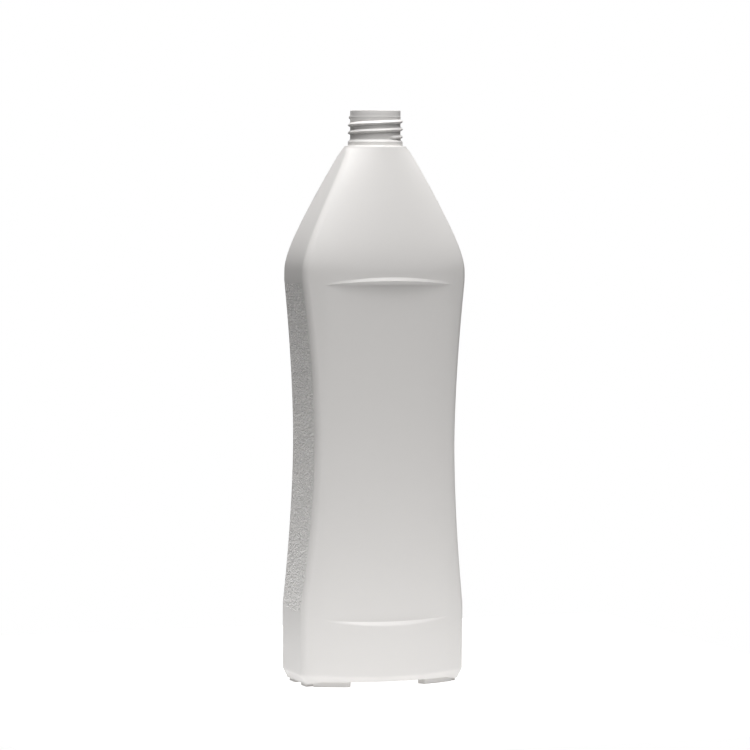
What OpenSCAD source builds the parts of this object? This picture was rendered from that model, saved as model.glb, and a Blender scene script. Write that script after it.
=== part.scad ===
// Blow-moulded plastic bottle, about 0.85 litre, with a waisted grip, a recessed
// label panel on the front and the back, four foot pads and an open threaded neck.
// Millimetres. The bottle stands on z = 0 with the neck's axis on the z axis.
// The front faces -y, and the wide sides with the grip face +x and -x.

/* [Body] */
// Width between the two grip sides, at the base and the shoulder
body_w = 84.6; // [78:0.2:92]
// Depth from front to back, at the base and the shoulder
body_d = 54; // [48:0.5:60]
// Height from the surface it stands on to the ledge under the neck
body_h = 264; // [240:1:290]
// Radius of the bowed front and back, in plan
face_radius = 85; // [72:1:120]
// Radius of the four upright corners
corner_r = 7; // [4:0.5:9]
// Wall thickness of the body
wall = 1; // [0.8:0.1:1.6]

/* [Shoulder] */
// Height of the shoulder, from the upright body to the ledge under the neck
shoulder_h = 62; // [50:1:72]
// How gently the shoulder turns in from the upright body: 0.15 is tight, 0.5 is soft
shoulder_round = 0.21; // [0.15:0.01:0.5]
// How far the middle of the shoulder's foot lies behind the bowed front and back
shoulder_flat = 0.8; // [0:0.1:1.2]

/* [Grip] */
// How far each side is drawn in at the waist
grip_depth = 5.9; // [3:0.1:7]
// Height of the lower end of the waist above the surface
grip_low = 38.5; // [32:0.5:50]
// Distance from the upper end of the waist to the foot of the shoulder
grip_gap = 4; // [2:0.5:14]
// Fullness of the waist's curve: 1.5 is narrow in the middle, 2.2 is broad
grip_shape = 1.75; // [1.5:0.05:2.2]

/* [Label panel] */
// Width of the panel
label_w = 65; // [56:1:68]
// Depth of the panel's middle below the bowed face
label_depth = 1.7; // [0.5:0.1:2]
// Height of the panel's lower edge above the surface
label_low = 33.4; // [28:0.2:42]
// Distance from the panel's upper edge to the foot of the shoulder
label_gap = 6.2; // [5.5:0.1:12]
// How much lower the panel's lower edge is in its middle than at its ends
label_sag = 1.3; // [0:0.1:2]
// Height of the slope below the panel, in its middle
ledge_slope_h = 2; // [1:0.1:3]
// Height of the slope above the panel, in its middle
ridge_rise = 2.6; // [1.5:0.1:3]
// Height of the ridge's back slope up to the shoulder, in its middle
ridge_back = 2.4; // [1.5:0.1:3]

/* [Base] */
// Height of the bevel round the base, above the foot pads
bevel_h = 3.4; // [2:0.1:5]
// How much lower the bevel's upper edge is in the middle of the front than at the sides
bevel_drop = 0.8; // [0:0.1:1.5]
// How far the bevel comes in at the base
bevel_in = 2.4; // [1:0.1:3]
// Height of the foot pads
foot_h = 2.6; // [1.5:0.1:3.5]
// How far the foot pads stand in from the lower edge of the bevel
foot_in = 1; // [0.3:0.1:2]
// Width of the foot pads, from their outer to their inner edge
foot_w = 4; // [3:0.1:6]
// Gap between the foot pads in the middle of the front and the back
arch_w = 36; // [20:1:44]
// Gap between the foot pads in the middle of each side
side_arch_w = 9; // [5:0.5:14]
// Rise of the middle of the underside above the foot ring
push_up = 1.8; // [0.5:0.1:3]
// Thickness of the floor
floor_t = 1.4; // [1:0.1:2]

/* [Neck] */
// Bore of the neck
bore_d = 21.2; // [18:0.1:22]
// Outer diameter of the neck between the threads
neck_d = 24.7; // [24.2:0.1:26]
// Height of the neck from the ledge to the rim
neck_h = 17.5; // [15:0.1:22]
// Diameter of the ledge under the neck
ledge_d = 30.4; // [29:0.1:33]
// Diameter of the collar above the ledge
collar_d = 26.9; // [26.6:0.1:28.5]
// Height of the collar
collar_h = 2.7; // [1.2:0.1:3]
// Rounding of the rim
rim_r = 0.4; // [0.2:0.05:0.6]

/* [Thread] */
// Outer diameter of the thread
thread_d = 27; // [26.2:0.1:28]
// Rise of the thread in one turn
thread_pitch = 3.8; // [3.2:0.05:4.4]
// Length of the thread in turns
thread_turns = 2.8; // [1:0.05:3]
// Width of the ridge where it leaves the neck
thread_w = 2.3; // [1.6:0.1:2.6]
// Height from the collar to the middle of the thread where it starts
thread_start = 0.6; // [0.4:0.1:1.2]
// Direction in which the thread starts, counterclockwise from +x
thread_angle = 220; // [0:5:355]

/* [Hidden] */

shoulder_z = body_h - shoulder_h;
grip_high = shoulder_z - grip_gap;
label_high = shoulder_z - label_gap;
ledge_low = label_low - label_sag - ledge_slope_h;
floor_z = foot_h + floor_t;
rim_z = body_h + neck_h;
ledge_r = ledge_d / 2;
// The throat is the inside of the shoulder where it meets the neck's root.
throat_z = body_h - 2 * wall;
throat_r = ledge_r - 2 * wall;
// Least height between two rings of the skin, so that none of them meet.
ring_gap = 0.7;
// Size of the foot ring's inner edge, and of the ring half way up the push-up.
foot_share = 0.78;
push_share = 0.6;
// Size of the floor's outer edge inside, so that the skin goes on upward from it.
floor_share = 0.99;
// Points round the neck and the bore, and steps in one turn of the thread.
round_steps = 96;
thread_steps = 20;
// How deep the thread's base lies in the neck, and the flat on its crest as a share of its width.
thread_sink = 0.5;
crest_share = 0.28;
// Turns over which the thread rises at its start and sinks at its end.
fade_in = 0.2;
fade_out = 0.1;

// Points round the skin: close together at the corners, further apart on the faces.
corner_from = 12;
corner_to = 36;
function quarter(flat, bend, bow) = concat(
    [for (i = [0:flat - 1]) corner_from * i / flat],
    [for (i = [0:bend - 1]) corner_from + (corner_to - corner_from) * i / bend],
    [for (i = [0:bow - 1]) corner_to + (90 - corner_to) * i / bow]);
function all_round(q) = concat(
    q,
    [90],
    [for (i = [len(q) - 1:-1:1]) 180 - q[i]],
    [for (a = q) 180 + a],
    [270],
    [for (i = [len(q) - 1:-1:1]) 360 - q[i]]);
OUTER_TURN = all_round(quarter(flat = 3, bend = 11, bow = 10));
INNER_TURN = all_round(quarter(flat = 2, bend = 5, bow = 5));

function mix(a, b, t) = a + (b - a) * t;

// Share of the way from the upright body to the neck: a smooth bend, then a straight slope.
function shoulder_share(z) =
    let (t = max(0, (z - shoulder_z) / shoulder_h), k = shoulder_round)
    (sqrt(t * t + k * k) - k) / (sqrt(1 + k * k) - k);

// Depth of the waist at a height: full in its middle, nothing at its ends.
function waist(z) =
    let (t = abs(2 * z - grip_low - grip_high) / (grip_high - grip_low))
    t < 1 ? grip_depth * (1 - pow(t, grip_shape)) : 0;

// Half width, half depth, bow radius and corner radius of the plan at a height. The
// flat sides shorten up the shoulder, and its last plan is a circle.
function plan(z, inset) =
    let (s = shoulder_share(z), r = corner_r, side = body_w / 2 - waist(z), drop = face_radius - body_d / 2)
    let (flat = sqrt(pow(face_radius - r, 2) - pow(side - r, 2)) - drop)
    let (a = mix(side, ledge_r, s), d = mix(body_d / 2, ledge_r, s), c = d - flat * sqrt(max(0, 1 - s)))
    [a - inset, d - inset, (pow(a - r, 2) + c * c - r * r) / (2 * (c - r)) - inset, r - inset];

// Distance from the axis to the plan's edge in a direction. The plan has flat
// sides, bowed faces, and corners that run smoothly into both.
function reach(p, turn) =
    let (a = p[0], r = p[3], drop = p[2] - p[1])
    let (u = atan2(abs(sin(turn)), abs(cos(turn))))
    let (b = sqrt(max(0, pow(p[2] - r, 2) - pow(a - r, 2))) - drop)
    let (e = norm([a - r, b]), w = u - atan2(b, a - r), k = p[2] / (p[2] - r))
    u < atan2(b, a) ? a / cos(u)
    : u < atan2((b + drop) * k - drop, (a - r) * k)
        ? e * cos(w) + sqrt(max(0, r * r - pow(e * sin(w), 2)))
    : sqrt(p[2] * p[2] - pow(drop * cos(u), 2)) - drop * sin(u);

// Share of the panel's depth at a distance from its middle.
function panel_share(x) = max(0, 1 - pow(2 * x / label_w, 2));

// One ring of the skin. A ring is [height, rise in its middle, depth in its middle, inset].
function ring(k, turns) = [
    for (t = turns)
        let (p = plan(k[0], k[3]), d = reach(p, t), g = panel_share(d * cos(t)))
        [d * cos(t), d * sin(t) * (1 - k[2] * g / p[1]), k[0] + k[1] * g]];

// A ring of the base, as a smaller copy of the foot ring's outline.
function base_ring(z, share, inset, turns) = [
    for (t = turns)
        let (d = reach(plan(foot_h, inset), t) * share)
        [d * cos(t), d * sin(t), z]];

// The rings of the base from the push-up out to its edge.
function base_rings(z, inset, edge, turns) = [
    base_ring(z + push_up * push_share, push_share, inset, turns),
    base_ring(z, foot_share, inset, turns),
    base_ring(z, edge, inset, turns)];

// A round ring, where the shoulder ends in the neck.
function round_ring(z, r, turns) = [for (t = turns) [r * cos(t), r * sin(t), z]];

// The rings from the bevel up to the neck, with some rings in each stretch.
function body_rings(inset, low, panel, high) = concat(
    [[foot_h + bevel_h, -bevel_drop, 0, inset]],
    [for (i = [1:low]) [mix(foot_h + bevel_h, ledge_low, i / (low + 1)), 0, 0, inset]],
    [[label_low - ring_gap, ledge_low - label_low + ring_gap, 0, inset],
     [label_low, -label_sag, label_depth, inset]],
    [for (i = [1:panel - 1]) [mix(label_low, label_high, i / panel), 0, label_depth, inset]],
    [[label_high, 0, label_depth, inset],
     [label_high + ring_gap, ridge_rise - ring_gap, 0, inset],
     [label_high + 2 * ring_gap, ridge_rise + ridge_back - 2 * ring_gap, shoulder_flat, inset]],
    [for (i = [1:high])
        let (z = mix(label_high + ridge_rise + ridge_back, body_h, i / (high + 1)))
        [z, 0, shoulder_flat * (1 - i / (high + 1)), inset]]);

function skin_faces(n, rings) = concat(
    [for (j = [0:rings - 2], i = [0:n - 1])
        let (a = j * n + i, b = j * n + (i + 1) % n)
        each [[a, a + n, b + n], [a, b + n, b]]],
    [for (i = [0:n - 1]) [n * rings, i, (i + 1) % n]],
    [for (i = [0:n - 1]) [n * rings + 1, n * (rings - 1) + (i + 1) % n, n * (rings - 1) + i]]);

// A closed skin over a stack of rings, with a middle point below and one above.
module skin(rings, low_z, high_z) {
    polyhedron(
        concat([for (k = rings) each k], [[0, 0, low_z], [0, 0, high_z]]),
        skin_faces(len(rings[0]), len(rings)));
}

module outside() {
    t = OUTER_TURN;
    skin(
        concat(
            base_rings(foot_h, bevel_in, 1, t),
            [for (k = body_rings(inset = 0, low = 2, panel = 18, high = 12)) ring(k, t)],
            [round_ring(body_h, ledge_r, t)]),
        foot_h + push_up,
        body_h);
}

module inside() {
    t = INNER_TURN;
    skin(
        concat(
            base_rings(floor_z, bevel_in + wall, floor_share, t),
            [for (k = body_rings(inset = wall, low = 1, panel = 10, high = 7)) ring(k, t)],
            [round_ring(throat_z, throat_r, t)]),
        floor_z + push_up,
        throat_z);
}

// The foot ring, cut into four corner pads by an arch in each side of the base.
module feet() {
    outer = plan(foot_h, bevel_in + foot_in);
    inner = plan(foot_h, bevel_in + foot_in + foot_w);
    // The pads' corners lie between the skin's own points, so that no two edges touch.
    turns = [for (t = INNER_TURN) t + 1];
    edge = [for (t = turns) reach(outer, t) * [cos(t), sin(t)]];
    hole = [for (t = turns) reach(inner, t) * [cos(t), sin(t)]];
    linear_extrude(foot_h + floor_t / 2)
        difference() {
            polygon(edge);
            polygon(hole);
            square([arch_w, 2 * body_d], center = true);
            square([2 * body_w, side_arch_w], center = true);
        }
}

// The neck's outside, turned from its outline: root, collar, bevel, wall and rim.
module neck() {
    bevel = (collar_d - neck_d) / 2;
    rotate_extrude($fn = round_steps)
        difference() {
            union() {
                translate([0, throat_z])
                    square([throat_r + wall, body_h - throat_z]);
                square([collar_d / 2, body_h + collar_h - bevel / 2]);
                polygon([
                    [0, body_h],
                    [collar_d / 2, body_h + collar_h - bevel / 2],
                    [neck_d / 2, body_h + collar_h + bevel / 2],
                    [neck_d / 2, rim_z - rim_r],
                    [neck_d / 2 - rim_r, rim_z],
                    [0, rim_z]]);
            }
            square([bore_d / 2, rim_z + 1]);
            square([neck_d, throat_z - wall / 2]);
        }
}

// The thread, a ridge that rises out of the neck and sinks back into it.
module thread() {
    steps = ceil(thread_turns * thread_steps);
    root_r = neck_d / 2;
    crest = (thread_d - neck_d) / 2;
    start_z = body_h + collar_h + thread_start;
    // The very ends lie inside the neck.
    function height(t) = t == 0 || t == thread_turns
        ? -thread_sink / 2
        : crest * min(1, t / fade_in, (thread_turns - t) / fade_out);
    function cut(t) =
        let (turn = thread_angle + 360 * t, z = start_z + thread_pitch * t)
        let (h = height(t), top = thread_w / 2 * crest_share, side = thread_w / 2)
        [for (q = [[-thread_sink, -side], [h, -top], [h, top], [-thread_sink, side]])
            [(root_r + q[0]) * cos(turn), (root_r + q[0]) * sin(turn), z + q[1]]];
    polyhedron(
        [for (i = [0:steps]) each cut(thread_turns * i / steps)],
        concat(
            [for (i = [0:steps - 1], j = [0:3])
                let (a = 4 * i + j, b = 4 * i + (j + 1) % 4)
                each [[a, b, b + 4], [a, b + 4, a + 4]]],
            [[3, 2, 1, 0], [for (j = [0:3]) 4 * steps + j]]));
}

// The whole bottle: skin, neck, thread and feet, less the hollow and the bore.
module bottle() {
    color([0.93, 0.92, 0.9])
        difference() {
            union() {
                outside();
                neck();
                thread();
                feet();
            }
            inside();
            translate([0, 0, throat_z - wall])
                cylinder(h = rim_z, r = bore_d / 2, $fn = round_steps);
        }
}

bottle();
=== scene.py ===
"""An empty, blow-moulded plastic bottle with an open threaded neck, on a white studio floor.

The bottle's skin is one closed sheet: it runs from the middle of the underside up the outside,
over the rim, down the bore and back along the inside. Sizes are in millimetres until the end.
"""
import math

import bpy
from mathutils import Matrix, Vector


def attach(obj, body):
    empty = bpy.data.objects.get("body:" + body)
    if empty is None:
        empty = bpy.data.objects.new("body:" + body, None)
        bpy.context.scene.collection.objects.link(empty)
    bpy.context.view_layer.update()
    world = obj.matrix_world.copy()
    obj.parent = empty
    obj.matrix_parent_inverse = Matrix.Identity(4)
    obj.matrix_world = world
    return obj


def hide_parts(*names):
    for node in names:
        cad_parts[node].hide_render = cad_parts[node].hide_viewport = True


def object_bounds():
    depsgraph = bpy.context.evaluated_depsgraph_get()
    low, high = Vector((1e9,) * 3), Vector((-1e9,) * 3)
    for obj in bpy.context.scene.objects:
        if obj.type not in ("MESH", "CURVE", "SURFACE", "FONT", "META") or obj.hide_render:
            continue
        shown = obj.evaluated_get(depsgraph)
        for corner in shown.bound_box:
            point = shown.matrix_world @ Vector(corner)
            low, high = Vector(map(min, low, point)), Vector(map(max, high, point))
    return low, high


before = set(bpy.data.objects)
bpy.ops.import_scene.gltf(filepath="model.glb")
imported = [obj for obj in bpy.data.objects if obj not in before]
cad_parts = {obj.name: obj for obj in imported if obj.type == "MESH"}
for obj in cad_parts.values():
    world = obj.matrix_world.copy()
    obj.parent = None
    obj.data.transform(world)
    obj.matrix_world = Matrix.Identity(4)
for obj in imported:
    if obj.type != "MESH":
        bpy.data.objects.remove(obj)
cad_low, cad_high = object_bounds()

MM = 0.001

# Outer sizes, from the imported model
BODY_W = (cad_high.x - cad_low.x) / MM
BODY_D = (cad_high.y - cad_low.y) / MM
RIM_Z = cad_high.z / MM

# Body
NECK_H = 17.5
BODY_H = RIM_Z - NECK_H
FACE_RADIUS = 85
CORNER_R = 5
CORNER_R_AT_NECK = 8
CORNER_GROWTH = 3
SMALLEST_R = 0.5
WALL = 1
SHOULDER_Z = 202
SHOULDER_H = BODY_H - SHOULDER_Z
SHOULDER_ROUND = 0.21
SHOULDER_FLAT = 0.8

# Grip sides
GRIP_DEPTH = 5.9
GRIP_LOW = 38.5
GRIP_HIGH = SHOULDER_Z - 4
GRIP_SHAPE = 1.75
GRAIN_LOW = 36.2
GRAIN_HIGH = 196.9
# How fast the grain's lower edge rises away from the middle of the side, for each metre
GRAIN_BOW = 9.0
GRAIN_SCALE = 850.0
GRAIN_STRETCH = (1.0, 0.45, 1.0)
GRAIN_HEIGHT = 0.8
# Painted highlight: how far from each grain pebble's middle its lighter top reaches
PEBBLE_HIGHLIGHT_REACH = 0.7
# The grain ends a little past the flat of the grip side, whose last line is 1
GRAIN_END = 1.12

# Label panel, with a slope below it and a ridge above it
LABEL_W = 65
LABEL_DEPTH = 2.2
LABEL_LOW = 33.4
LABEL_HIGH = SHOULDER_Z - 6.2
LABEL_SAG = 1.3
LEDGE_SLOPE_H = 2
RIDGE_RISE = 2.6
RIDGE_BACK = 1.8
RING_GAP = 0.7
# How far the crescents' slopes are in at their bend, as shares of the panel's depth
SLOPE_SHARE = 0.25
RIDGE_SHARE = 0.85
# Dip of the panel's upper edge under the ridge, and height in which its lower edge straightens
RIDGE_DIP = 0.6
PANEL_EASE = 14

# Front below the label panel
LOWER_FRONT_LOW = 14
LOWER_FRONT_HIGH = 24
LOWER_FRONT_DIP = 0.6

# Front above the ridge, and the ends of the body's rings under the neck
SHOULDER_EASE = 4.9
SHOULDER_FLAT_SHARE = 0.92
OUTSIDE_END = 1.5
INSIDE_END = 6
PANEL_EDGE_SOFTNESS = 0.03

# Base
BEVEL_H = 3.4
BEVEL_DROP = 0.8
BEVEL_IN = 2.4
SIDE_DROP = 1.1
FOOT_H = 2.6
FOOT_IN = 1
FOOT_W = 4
ARCH_W = 37
SIDE_ARCH_W = 9
FRONT_PAD_END = 34
SIDE_PAD_END = 12
PUSH_UP = 1.8
FLOOR_T = 1.4
FOOT_ROUND = 0.45
FOOT_STEPS = 3
HEEL_IN = 0.25
# The underside's rings: share of its full size, and share of the push up
UNDERSIDE = [(0.12, 1), (0.3, 0.93), (0.5, 0.8), (0.68, 0.55), (0.82, 0.25), (0.9, 0.08)]
UNDERSIDE_EDGE = 0.965
PAD_RING = len(UNDERSIDE)
PAD_INSET = BEVEL_IN + FOOT_IN + 0.8 * FOOT_W
# The same for the floor inside
FLOOR_INSIDE = [(0.12, 1), (0.5, 0.8), (0.78, 0), (0.99, 0)]

# Neck
LEDGE_R = 15.2
COLLAR_R = 13.45
COLLAR_H = 2.7
NECK_R = 12.35
BORE_R = 10.6
THROAT_Z = BODY_H - 2 * WALL
THROAT_R = LEDGE_R - 2 * WALL
LEDGE_LIP = 0.2
LEDGE_H = 0.6
# The fine ring near the rim: its height, rise, half its flat and half its whole width
WITNESS_Z = 278.3
WITNESS_RISE = 0.07
WITNESS_FLAT = 0.1
WITNESS_HALF = 0.35
SEAM_RISE = 0.2
# The seam lies further out than the bore by this much, and higher than the ledge by that
SEAM_OFF_BORE = 0.6
SEAM_OFF_LEDGE = 0.4

# Thread
THREAD_R = 13.5
THREAD_PITCH = 3.8
THREAD_TURNS = 2.7
THREAD_START_Z = BODY_H + COLLAR_H + 1.25
THREAD_START = math.radians(284)
THREAD_SINK = 0.5
# Across the ridge: share of its full height, and place along the neck
THREAD_OUTLINE = [
    (0, -0.95), (0.75, -0.5), (0.95, -0.25), (1, 0), (0.9, 0.3), (0.55, 0.7), (0, 1.15),
]
THREAD_FADE_IN = 0.1
THREAD_FADE_OUT = 0.12
THREAD_STEPS = 96

# Lines up the skin in one quarter of it: on the flat side, round the corner and on the bowed face
SIDE_LINES = 8
CORNER_LINES = 16
FACE_LINES = 36
QUARTER = SIDE_LINES + CORNER_LINES + FACE_LINES
LINES = 4 * QUARTER
OUTSIDE_SPACING = 2.2
NECK_SPACING = 1.6
INSIDE_SPACING = 7
ROUND_STEPS = 5
SHADE_ANGLE = 32

# Share of the shoulder from which the lines spread evenly
EVEN_FROM = 0.35
# Shares of the half width between which the front passes into the side
SIDE_FROM = 0.8
SIDE_TO = 0.97

# Colours and finish
PLASTIC = (0.8, 0.782, 0.764, 1)
# Colour of the painted highlight laid on the tops of the grain's pebbles
PEBBLE_HIGHLIGHT_COLOUR = (1, 0.977, 0.955, 1)
FLOOR_WHITE = (0.95, 0.95, 0.95, 1)
PLASTIC_ROUGHNESS = 0.42
PLASTIC_IOR = 1.5
PLASTIC_SPECULAR = 0.4
FLOOR_ROUGHNESS = 0.7

# The floor is in metres. It glows, more brightly where the camera sees it
FLOOR_SIZE = 0.44
FLOOR_SEEN = 0.85
FLOOR_GLOW = 0.285
AMBIENT = 0.058

# Lamps: name, place, the point it faces, width, height and power
LAMPS = [
    ("lamp_above", (0.0, 0.0, 0.9), (0.0, 0.0, 0.1), 0.6, 0.6, 7.1),
    ("lamp_above_front", (0.0, -0.35, 0.9), (0.0, 0.0, 0.1), 0.5, 0.5, 1.9),
    ("lamp_above_left", (-0.35, 0.0, 0.9), (0.0, 0.0, 0.1), 0.5, 0.5, 0.6),
    ("lamp_high_front", (0.1, -0.75, 1.0), (0.0, 0.0, 0.12), 0.5, 0.5, 2.8),
    ("lamp_high_left", (-0.6, -0.6, 0.9), (0.0, 0.0, 0.12), 0.5, 0.5, 1.1),
]

# The camera of the photograph, worked out from the bottle's edges in it
VIEW_TURN = 0.34674
VIEW_DOWN = 0.05415
VIEW_ROLL = 0.00556
VIEW_DISTANCE = 1.7715
VIEW_HEIGHT = 0.2474
VIEW_SIDE = 0.00053
VIEW_LENS = 172.68


def mix(a, b, share):
    return a + (b - a) * share


def smooth(low, high, value):
    """Goes from 0 at low to 1 at high, without a corner."""
    t = min(1, max(0, (value - low) / (high - low)))
    return t * t * (3 - 2 * t)


def shoulder_share(z):
    """Share of the way from the upright body to the neck: a smooth bend, then a straight slope."""
    t = max(0, (z - SHOULDER_Z) / SHOULDER_H)
    k = SHOULDER_ROUND
    return (math.hypot(t, k) - k) / (math.hypot(1, k) - k)


def waist(z):
    """Depth of the waist at a height: full in its middle, nothing at its ends."""
    t = abs(2 * z - GRIP_LOW - GRIP_HIGH) / (GRIP_HIGH - GRIP_LOW)
    return GRIP_DEPTH * (1 - t ** GRIP_SHAPE) if t < 1 else 0


def plan(z, inset):
    """Half width, half depth, bow radius and corner radius of the body at a height."""
    s = shoulder_share(z)
    r = mix(CORNER_R, CORNER_R_AT_NECK, s ** CORNER_GROWTH)
    side = BODY_W / 2 - waist(z)
    flat = math.sqrt((FACE_RADIUS - CORNER_R) ** 2 - (side - CORNER_R) ** 2) - (FACE_RADIUS - BODY_D / 2)
    half_w = mix(side, LEDGE_R, s)
    half_d = mix(BODY_D / 2, LEDGE_R, s)
    c = half_d - flat * math.sqrt(max(0, 1 - s))
    bow = ((half_w - r) ** 2 + c * c - r * r) / (2 * (c - r))
    return half_w - inset, half_d - inset, bow - inset, max(SMALLEST_R, r - inset)


def corner_of(shape):
    """Where the corner's centre lies along y, and the direction in which its arc ends."""
    half_w, half_d, bow, r = shape
    drop = bow - half_d
    y = math.sqrt(max(0, (bow - r) ** 2 - (half_w - r) ** 2)) - drop
    return y, math.atan2(y + drop, half_w - r)


def reach(shape, turn):
    """Distance from the axis to the plan's edge, in a direction from 0 to a quarter turn."""
    half_w, half_d, bow, r = shape
    drop = bow - half_d
    y, end = corner_of(shape)
    if turn < math.atan2(y, half_w):
        return half_w / math.cos(turn)
    if turn < math.atan2(bow * math.sin(end) - drop, bow * math.cos(end)):
        away = math.hypot(half_w - r, y)
        off = turn - math.atan2(y, half_w - r)
        return away * math.cos(off) + math.sqrt(max(0, r * r - (away * math.sin(off)) ** 2))
    return math.sqrt(bow * bow - (drop * math.cos(turn)) ** 2) - drop * math.sin(turn)


def turn_of(shape, step, evenness):
    """Direction of a line of a quarter. The lines follow the corners, and are evenly spread at the neck."""
    half_w, half_d, bow, r = shape
    y, end = corner_of(shape)
    if step <= SIDE_LINES:
        turn = math.atan2(y * step / SIDE_LINES, half_w)
    elif step <= SIDE_LINES + CORNER_LINES:
        angle = end * (step - SIDE_LINES) / CORNER_LINES
        turn = math.atan2(y + r * math.sin(angle), half_w - r + r * math.cos(angle))
    else:
        angle = mix(end, math.pi / 2, (step - SIDE_LINES - CORNER_LINES) / FACE_LINES)
        turn = math.atan2(bow * math.sin(angle) - (bow - half_d), bow * math.cos(angle))
    return mix(turn, math.pi / 2 * step / QUARTER, evenness)


def panel_share(x):
    """Share of the panel's depth at a distance from its middle, with a softened edge."""
    share = 1 - (2 * x / LABEL_W) ** 2
    return (share + math.hypot(share, PANEL_EDGE_SOFTNESS)) / 2


def quarter_steps():
    """For each line round the skin: its step in a quarter, and the signs of x and y there."""
    up = range(QUARTER)
    down = range(QUARTER, 0, -1)
    return (
        [(k, 1, 1) for k in up] + [(k, -1, 1) for k in down]
        + [(k, -1, -1) for k in up] + [(k, 1, -1) for k in down]
    )


def body_ring(z, rise=0, depth=0, inset=0, drop=0, share=1):
    """One ring of the body. In the middle of the front and the back it lies higher by rise and
    deeper by depth, and at the sides it lies lower by drop. Share makes it smaller as a whole."""
    shape = plan(z, inset)
    evenness = smooth(EVEN_FROM, 1, shoulder_share(z))
    quarter = []
    for step in range(QUARTER + 1):
        turn = turn_of(shape, step, evenness)
        away = reach(shape, turn)
        x = away * math.cos(turn)
        panel = panel_share(x)
        side = smooth(SIDE_FROM, SIDE_TO, x / shape[0])
        y = away * math.sin(turn) * (1 - depth * panel / shape[1])
        quarter.append((x * share, y * share, z + rise * panel - drop * side))
    return [(quarter[k][0] * sx, quarter[k][1] * sy, quarter[k][2]) for k, sx, sy in quarter_steps()]


def round_ring(radius, z, seam=0):
    """One ring of the neck, with a fine seam on each side where the mould's halves met."""
    ring = []
    for line in range(LINES):
        turn = 2 * math.pi * line / LINES
        r = radius + (seam if line % (LINES // 2) == 0 else 0)
        ring.append((r * math.cos(turn), r * math.sin(turn), z))
    return ring


def rounded(outline, distance):
    """The outline's corners made round. The last value of a corner is how far its rounding reaches."""
    points = [outline[0][:-1]]
    for before, corner, after in zip(outline, outline[1:], outline[2:]):
        to_before = min(0.49, corner[-1] / distance(corner, before))
        to_after = min(0.49, corner[-1] / distance(corner, after))
        start = [mix(a, b, to_before) for a, b in zip(corner[:-1], before)]
        end = [mix(a, b, to_after) for a, b in zip(corner[:-1], after)]
        for i in range(ROUND_STEPS + 1):
            t = i / ROUND_STEPS
            points.append([
                mix(mix(s, c, t), mix(c, e, t), t) for s, c, e in zip(start, corner, end)
            ])
    points.append(outline[-1][:-1])
    return points


def spaced(points, distance, spacing):
    """The same outline with further points, so that none lie further apart than spacing."""
    filled = [points[0]]
    for a, b in zip(points, points[1:]):
        parts = max(1, math.ceil(distance(a, b) / spacing))
        filled += [[mix(p, q, i / parts) for p, q in zip(a, b)] for i in range(1, parts + 1)]
    return filled


def middle_distance(a, b):
    """Distance of two rings in the middle of the front."""
    return math.hypot(a[0] + a[1] - b[0] - b[1], a[2] + a[3] - b[2] - b[3]) + 1e-9


def flat_distance(a, b):
    return math.hypot(a[0] - b[0], a[1] - b[1]) + 1e-9


def body_outline(inset):
    """The body's rings from the bevel to the neck: height, rise, depth, inset, drop and rounding."""
    ledge_rise = -LABEL_SAG - LEDGE_SLOPE_H + RING_GAP
    middle_rise = -LABEL_SAG - LEDGE_SLOPE_H / 2
    back_rise = RIDGE_RISE + RIDGE_BACK - 2 * RING_GAP
    foot_of_shoulder = LABEL_HIGH + RIDGE_RISE + RIDGE_BACK
    return [
        (FOOT_H, 0, 0, BEVEL_IN + inset, SIDE_DROP, 0.2),
        (FOOT_H + BEVEL_H, -BEVEL_DROP, 0, inset, 0, 0.9),
        (LOWER_FRONT_LOW, 0, 0, inset, 0, 3),
        (LOWER_FRONT_HIGH, -LOWER_FRONT_DIP, 0, inset, 0, 3),
        (LABEL_LOW - RING_GAP, ledge_rise, 0, inset, 0, 0.8),
        (LABEL_LOW - RING_GAP / 2, middle_rise, SLOPE_SHARE * LABEL_DEPTH, inset, 0, 0.3),
        (LABEL_LOW, -LABEL_SAG, LABEL_DEPTH, inset, 0, 0.12),
        (LABEL_LOW + PANEL_EASE, 0, LABEL_DEPTH, inset, 0, 5),
        (LABEL_HIGH, -RIDGE_DIP, LABEL_DEPTH, inset, 0, 1),
        (LABEL_HIGH + RING_GAP / 2, RIDGE_RISE / 4, RIDGE_SHARE * LABEL_DEPTH, inset, 0, 0.5),
        (LABEL_HIGH + RING_GAP, RIDGE_RISE - RING_GAP, 0, inset, 0, 0.15),
        (LABEL_HIGH + 2 * RING_GAP, back_rise, SHOULDER_FLAT, inset, 0, 0.3),
        (foot_of_shoulder + SHOULDER_EASE, 0, SHOULDER_FLAT_SHARE * SHOULDER_FLAT, inset, 0, 2),
        (BODY_H - OUTSIDE_END, 0, 0, inset, 0, 1),
    ]


def outside_rings():
    """From the middle of the underside to the ledge under the neck."""
    base = [
        body_ring(FOOT_H + PUSH_UP * rise, inset=PAD_INSET, share=share)
        for share, rise in UNDERSIDE
    ]
    base += [
        body_ring(FOOT_H, inset=PAD_INSET, share=UNDERSIDE_EDGE),
        body_ring(FOOT_H, inset=BEVEL_IN + FOOT_IN, drop=SIDE_DROP),
        body_ring(FOOT_H, inset=BEVEL_IN + HEEL_IN, drop=SIDE_DROP),
    ]
    outline = spaced(rounded(body_outline(0), middle_distance), middle_distance, OUTSIDE_SPACING)
    return base + [body_ring(*values) for values in outline]


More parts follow.
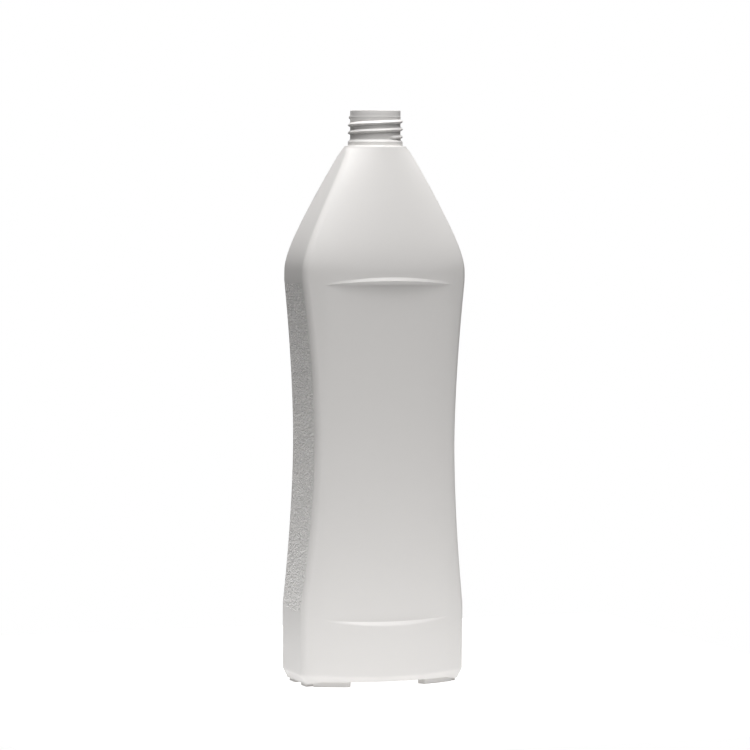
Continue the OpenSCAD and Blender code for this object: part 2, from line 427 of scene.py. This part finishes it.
def neck_rings():
    """From the ledge over the rim and down the bore to the throat."""
    bevel = COLLAR_R - NECK_R
    outline = [
        (LEDGE_R + LEDGE_LIP, BODY_H - LEDGE_H, 0),
        (LEDGE_R, BODY_H, 0.3),
        (COLLAR_R, BODY_H, 0.3),
        (COLLAR_R, BODY_H + COLLAR_H - bevel / 2, 0.35),
        (NECK_R, BODY_H + COLLAR_H + bevel / 2, 0.5),
        (NECK_R, WITNESS_Z - WITNESS_HALF, 0.1),
        (NECK_R + WITNESS_RISE, WITNESS_Z - WITNESS_FLAT, 0.1),
        (NECK_R + WITNESS_RISE, WITNESS_Z + WITNESS_FLAT, 0.1),
        (NECK_R, WITNESS_Z + WITNESS_HALF, 0.1),
        (NECK_R, RIM_Z, 0.3),
        (BORE_R, RIM_Z, 0.5),
        (BORE_R, THROAT_Z, 0.6),
        (THROAT_R, THROAT_Z, 0),
    ]
    points = spaced(rounded(outline, flat_distance), flat_distance, NECK_SPACING)
    return [
        round_ring(r, z, SEAM_RISE if r > BORE_R + SEAM_OFF_BORE and z > BODY_H + SEAM_OFF_LEDGE else 0)
        for r, z in points
    ]


def inside_rings():
    """From the throat down the inside to the middle of the floor."""
    floor_z = FOOT_H + FLOOR_T
    outline = [values[:-1] for values in body_outline(WALL)[1:-1]]
    points = spaced(outline, middle_distance, INSIDE_SPACING)
    points.append((BODY_H - INSIDE_END, 0, 0, WALL, 0))
    floor = [
        body_ring(floor_z + PUSH_UP * rise, inset=BEVEL_IN + WALL, share=share)
        for share, rise in FLOOR_INSIDE
    ]
    return (floor + [body_ring(*values) for values in points])[::-1]


def plain_column(name, rings):
    """A plain column of rings, all alike, which is then shaped."""
    bpy.ops.object.select_all(action="DESELECT")
    bpy.ops.mesh.primitive_circle_add(vertices=LINES, radius=1, fill_type="NOTHING")
    column = bpy.context.active_object
    column.name = name
    bpy.ops.object.mode_set(mode="EDIT")
    bpy.ops.mesh.select_all(action="SELECT")
    for _ in range(rings - 1):
        bpy.ops.mesh.extrude_region_move(TRANSFORM_OT_translate={"value": (0, 0, 1)})
    bpy.ops.object.mode_set(mode="OBJECT")
    return column


def shape_column(column, rings):
    """Moves each point of the column to its place on the skin, and notes which ring and line it is on."""
    column.data.attributes.new("ring", "INT", "POINT")
    column.data.attributes.new("across", "FLOAT", "POINT")
    ring_of = column.data.attributes["ring"]
    across = column.data.attributes["across"]
    steps = quarter_steps()
    for i, vertex in enumerate(column.data.vertices):
        line = round(math.atan2(vertex.co.y, vertex.co.x) * LINES / (2 * math.pi)) % LINES
        ring = round(vertex.co.z)
        ring_of.data[i].value = ring
        across.data[i].value = steps[line][0] / SIDE_LINES
        vertex.co = rings[ring][line]


def select_points(mesh, wanted):
    """Selects the points for which wanted is true, with the edges and faces between them."""
    bpy.ops.object.mode_set(mode="EDIT")
    bpy.ops.mesh.select_mode(type="VERT")
    bpy.ops.mesh.select_all(action="DESELECT")
    bpy.ops.object.mode_set(mode="OBJECT")
    for i, vertex in enumerate(mesh.vertices):
        vertex.select = wanted(i, vertex.co)
    bpy.ops.object.mode_set(mode="EDIT")


def close_poles(skin, last_ring):
    """Closes the skin in the middle of the underside and in the middle of the floor inside."""
    for pole in (0, last_ring):
        ring_of = [item.value for item in skin.data.attributes["ring"].data]
        select_points(skin.data, lambda i, co: ring_of[i] == pole)
        bpy.ops.mesh.edge_face_add()
        bpy.ops.mesh.poke()
        bpy.ops.object.mode_set(mode="OBJECT")


def add_feet(skin, inner_ring):
    """Eight foot pads, two at each corner, pushed down out of the underside."""
    bpy.ops.object.mode_set(mode="EDIT")
    bpy.ops.mesh.select_mode(type="FACE")
    bpy.ops.mesh.select_all(action="DESELECT")
    bpy.ops.object.mode_set(mode="OBJECT")
    ring_of = [item.value for item in skin.data.attributes["ring"].data]
    for face in skin.data.polygons:
        between = {ring_of[i] for i in face.vertices} == {inner_ring, inner_ring + 1}
        x, y = abs(face.center.x), abs(face.center.y)
        in_front = ARCH_W / 2 < x < FRONT_PAD_END
        at_side = SIDE_ARCH_W / 2 < y < SIDE_PAD_END
        face.select = between and (in_front or at_side)
    bpy.ops.object.mode_set(mode="EDIT")
    bpy.ops.mesh.extrude_region_move(TRANSFORM_OT_translate={"value": (0, 0, -SIDE_DROP)})
    bpy.ops.object.mode_set(mode="OBJECT")
    for vertex in skin.data.vertices:
        if vertex.select:
            vertex.co.z = 0
    bpy.ops.object.mode_set(mode="EDIT")
    bpy.ops.mesh.region_to_loop()
    bpy.ops.mesh.bevel(offset=FOOT_ROUND, segments=FOOT_STEPS, affect="EDGES", clamp_overlap=True)
    bpy.ops.object.mode_set(mode="OBJECT")


def thread_height(turns):
    """Height of the ridge along the thread. Its very ends lie inside the neck."""
    if turns <= 0 or turns >= THREAD_TURNS:
        return -THREAD_SINK / 2
    fade = min(1, turns / THREAD_FADE_IN, (THREAD_TURNS - turns) / THREAD_FADE_OUT)
    return (THREAD_R - NECK_R) * math.sin(fade * math.pi / 2)


def make_thread():
    """The thread's ridge, drawn in outline at its start and screwed up round the neck."""
    crest = THREAD_R - NECK_R
    outline = [(crest * out, up) for out, up in THREAD_OUTLINE]
    outline = [(-THREAD_SINK, outline[0][1])] + outline + [(-THREAD_SINK, outline[-1][1])]
    bpy.ops.object.select_all(action="DESELECT")
    bpy.ops.mesh.primitive_circle_add(vertices=len(outline), radius=1, fill_type="NOTHING")
    ridge = bpy.context.active_object
    ridge.name = "thread_ridge"
    order = sorted(ridge.data.vertices, key=lambda v: math.atan2(v.co.y, v.co.x))
    for vertex, (out, up) in zip(order, outline):
        away = NECK_R + out
        vertex.co = (away * math.cos(THREAD_START), away * math.sin(THREAD_START), THREAD_START_Z + up)
    screw = ridge.modifiers.new("thread", "SCREW")
    screw.angle = 2 * math.pi * THREAD_TURNS
    screw.screw_offset = THREAD_PITCH * THREAD_TURNS
    screw.steps = screw.render_steps = round(THREAD_STEPS * THREAD_TURNS)
    screw.use_merge_vertices = False
    bpy.ops.object.modifier_apply(modifier=screw.name)
    for vertex in ridge.data.vertices:
        away = math.hypot(vertex.co.x, vertex.co.y)
        out = away - NECK_R
        turns = turns_along(vertex.co, out)
        if out > 0:
            wanted = NECK_R + out * thread_height(turns) / crest
            vertex.co.x *= wanted / away
            vertex.co.y *= wanted / away
    bpy.ops.object.mode_set(mode="EDIT")
    bpy.ops.mesh.select_all(action="DESELECT")
    bpy.ops.mesh.select_mode(type="EDGE")
    bpy.ops.mesh.select_non_manifold()
    bpy.ops.mesh.fill_holes(sides=0)
    bpy.ops.mesh.select_all(action="SELECT")
    bpy.ops.mesh.normals_make_consistent(inside=False)
    bpy.ops.object.mode_set(mode="OBJECT")
    return ridge


def turns_along(co, out):
    """How many turns up the thread a point of the ridge lies."""
    around = (math.atan2(co.y, co.x) - THREAD_START) / (2 * math.pi) % 1
    up = (co.z - THREAD_START_Z) / THREAD_PITCH
    return around + round(up - around)


def unite(target, other):
    """Joins a piece to another one into one closed skin."""
    bpy.ops.object.select_all(action="DESELECT")
    bpy.context.view_layer.objects.active = target
    join = target.modifiers.new("join", "BOOLEAN")
    join.operation = "UNION"
    join.solver = "EXACT"
    join.object = other
    bpy.ops.object.modifier_apply(modifier=join.name)
    bpy.data.objects.remove(other)


def make_bottle():
    outside = outside_rings()
    neck = neck_rings()
    inside = inside_rings()
    rings = outside + neck + inside
    skin = plain_column("bottle_shell", len(rings))
    shape_column(skin, rings)
    close_poles(skin, len(rings) - 1)
    bpy.ops.object.mode_set(mode="EDIT")
    bpy.ops.mesh.select_all(action="SELECT")
    bpy.ops.mesh.normals_make_consistent(inside=False)
    bpy.ops.object.mode_set(mode="OBJECT")
    add_feet(skin, PAD_RING)
    across = skin.data.attributes["across"].data
    ring_of = skin.data.attributes["ring"].data
    for place, ring in zip(across, ring_of):
        if ring.value >= len(outside):
            place.value = QUARTER
    unite(skin, make_thread())
    skin.data.transform(Matrix.Scale(MM, 4))
    bpy.ops.object.select_all(action="DESELECT")
    skin.select_set(True)
    bpy.context.view_layer.objects.active = skin
    bpy.ops.object.shade_smooth_by_angle(angle=math.radians(SHADE_ANGLE))
    return skin


def add_node(tree, kind, place, **values):
    """A shader node with its settings and socket values."""
    node = tree.nodes.new(kind)
    node.location = place
    for name, value in values.items():
        if name in node.inputs:
            node.inputs[name].default_value = value
        else:
            setattr(node, name, value)
    return node


def sum_of(tree, place, operation, a, b):
    """One step of arithmetic. Each side is a number or an output of another node."""
    node = tree.nodes.new("ShaderNodeMath")
    node.operation = operation
    node.location = place
    for socket, value in zip(node.inputs, (a, b)):
        if isinstance(value, bpy.types.NodeSocket):
            tree.links.new(value, socket)
        else:
            socket.default_value = value
    return node.outputs[0]


def new_material(name):
    material = bpy.data.materials.new(name)
    material.use_nodes = True
    return material, material.node_tree


def satin_polyethylene():
    """Off-white satin polyethylene, smooth but for a fine grain on the two grip sides, whose pebble tops
    carry a painted highlight.
    """
    material, tree = new_material("satin_polyethylene")
    surface = tree.nodes["Principled BSDF"]
    surface.inputs["Base Color"].default_value = PLASTIC
    surface.inputs["Roughness"].default_value = PLASTIC_ROUGHNESS
    surface.inputs["IOR"].default_value = PLASTIC_IOR
    surface.inputs["Specular IOR Level"].default_value = PLASTIC_SPECULAR
    place = add_node(tree, "ShaderNodeTexCoord", (-1500, 0)).outputs["Object"]
    split = add_node(tree, "ShaderNodeSeparateXYZ", (-1300, 200))
    tree.links.new(place, split.inputs[0])
    across = add_node(tree, "ShaderNodeAttribute", (-1300, 500), attribute_name="across").outputs["Fac"]
    on_side = sum_of(tree, (-1000, 500), "LESS_THAN", across, GRAIN_END)
    y = split.outputs["Y"]
    z = split.outputs["Z"]
    bow = sum_of(tree, (-1100, 200), "MULTIPLY", sum_of(tree, (-1200, 200), "MULTIPLY", y, y), GRAIN_BOW)
    lowest = sum_of(tree, (-900, 200), "ADD", bow, GRAIN_LOW * MM)
    above = sum_of(tree, (-800, 300), "GREATER_THAN", z, lowest)
    below = sum_of(tree, (-800, 100), "LESS_THAN", z, GRAIN_HIGH * MM)
    band = sum_of(tree, (-700, 200), "MULTIPLY", above, below)
    grip = sum_of(tree, (-600, 400), "MULTIPLY", band, on_side)
    stretch = add_node(tree, "ShaderNodeMapping", (-1250, -100), Scale=GRAIN_STRETCH)
    tree.links.new(place, stretch.inputs["Vector"])
    pebbles = add_node(tree, "ShaderNodeTexVoronoi", (-1000, -100), Scale=GRAIN_SCALE, Randomness=1.0)
    tree.links.new(stretch.outputs["Vector"], pebbles.inputs["Vector"])
    hills = sum_of(tree, (-700, -100), "SUBTRACT", 1.0, pebbles.outputs["Distance"])
    grain = sum_of(tree, (-500, 0), "MULTIPLY", hills, grip)
    bump = add_node(tree, "ShaderNodeBump", (-300, -100), Strength=1.0, Distance=GRAIN_HEIGHT * MM)
    tree.links.new(grain, bump.inputs["Height"])
    tree.links.new(bump.outputs["Normal"], surface.inputs["Normal"])
    # Painted highlight: the grain's pebble tops are coloured lighter, where its bumps peak
    painted_highlight = sum_of(tree, (-500, 700), "SUBTRACT", PEBBLE_HIGHLIGHT_REACH, pebbles.outputs["Distance"])
    painted_highlight = sum_of(tree, (-350, 700), "MULTIPLY", painted_highlight, grip)
    highlight_mix = add_node(tree, "ShaderNodeMix", (-150, 700), data_type="RGBA")
    for socket in highlight_mix.inputs:
        if socket.type == "RGBA":
            socket.default_value = PLASTIC if socket.name == "A" else PEBBLE_HIGHLIGHT_COLOUR
    tree.links.new(painted_highlight, highlight_mix.inputs["Factor"])
    colour = next(socket for socket in highlight_mix.outputs if socket.type == "RGBA")
    tree.links.new(colour, surface.inputs["Base Color"])
    return material


def white_where_seen(name, colour, strength):
    """A pale matt surface that the camera sees a little brighter than it is lit."""
    material, tree = new_material(name)
    surface = tree.nodes["Principled BSDF"]
    surface.inputs["Base Color"].default_value = colour
    surface.inputs["Roughness"].default_value = FLOOR_ROUGHNESS
    surface.inputs["Emission Color"].default_value = (1, 1, 1, 1)
    seen = add_node(tree, "ShaderNodeLightPath", (-500, 0)).outputs["Is Camera Ray"]
    bright = sum_of(tree, (-350, 0), "MULTIPLY", seen, strength)
    glow = sum_of(tree, (-200, 0), "MAXIMUM", bright, FLOOR_GLOW)
    tree.links.new(glow, surface.inputs["Emission Strength"])
    return material


def make_floor():
    bpy.ops.object.select_all(action="DESELECT")
    bpy.ops.mesh.primitive_plane_add(size=FLOOR_SIZE)
    floor = bpy.context.active_object
    floor.name = "studio_floor"
    floor.data.materials.append(white_where_seen("white_floor", FLOOR_WHITE, FLOOR_SEEN))


def add_lamps():
    for name, place, target, width, height, power in LAMPS:
        light = bpy.data.lights.new(name, "AREA")
        light.shape = "RECTANGLE"
        light.size = width
        light.size_y = height
        light.energy = power
        lamp = bpy.data.objects.new(name, light)
        bpy.context.scene.collection.objects.link(lamp)
        lamp.location = place
        lamp.rotation_euler = (Vector(target) - Vector(place)).to_track_quat("-Z", "Y").to_euler()


def white_world():
    """The camera sees white all round, and the room gives a little light of its own."""
    world = bpy.data.worlds.new("studio")
    world.use_nodes = True
    tree = world.node_tree
    sky = tree.nodes["Background"]
    sky.inputs["Color"].default_value = (1, 1, 1, 1)
    seen = add_node(tree, "ShaderNodeLightPath", (-600, 0)).outputs["Is Camera Ray"]
    light = sum_of(tree, (-300, 0), "MAXIMUM", seen, AMBIENT)
    tree.links.new(light, sky.inputs["Strength"])
    bpy.context.scene.world = world


def add_camera():
    data = bpy.data.cameras.new("photo_camera")
    data.sensor_width = 36
    data.lens = VIEW_LENS
    data.clip_start = 0.1
    data.clip_end = 20
    camera = bpy.data.objects.new("photo_camera", data)
    bpy.context.scene.collection.objects.link(camera)
    right = Vector((math.cos(VIEW_TURN), -math.sin(VIEW_TURN), 0))
    ahead = Vector((math.sin(VIEW_TURN), math.cos(VIEW_TURN), 0))
    ahead = ahead * math.cos(VIEW_DOWN) - Vector((0, 0, math.sin(VIEW_DOWN)))
    up = right.cross(ahead)
    place = Vector((-math.sin(VIEW_TURN), -math.cos(VIEW_TURN), 0)) * VIEW_DISTANCE
    place = place + Vector((0, 0, VIEW_HEIGHT)) + right * VIEW_SIDE
    rolled = Matrix.Rotation(-VIEW_ROLL, 3, ahead)
    axes = Matrix((rolled @ right, rolled @ up, -ahead)).transposed()
    camera.matrix_world = Matrix.Translation(place) @ axes.to_4x4()
    bpy.context.scene.camera = camera


def main():
    bottle = make_bottle()
    bottle.data.materials.append(satin_polyethylene())
    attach(bottle, "root")
    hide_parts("bottle")
    make_floor()
    add_lamps()
    white_world()
    add_camera()
    bpy.context.scene.view_settings.view_transform = "Standard"


main()
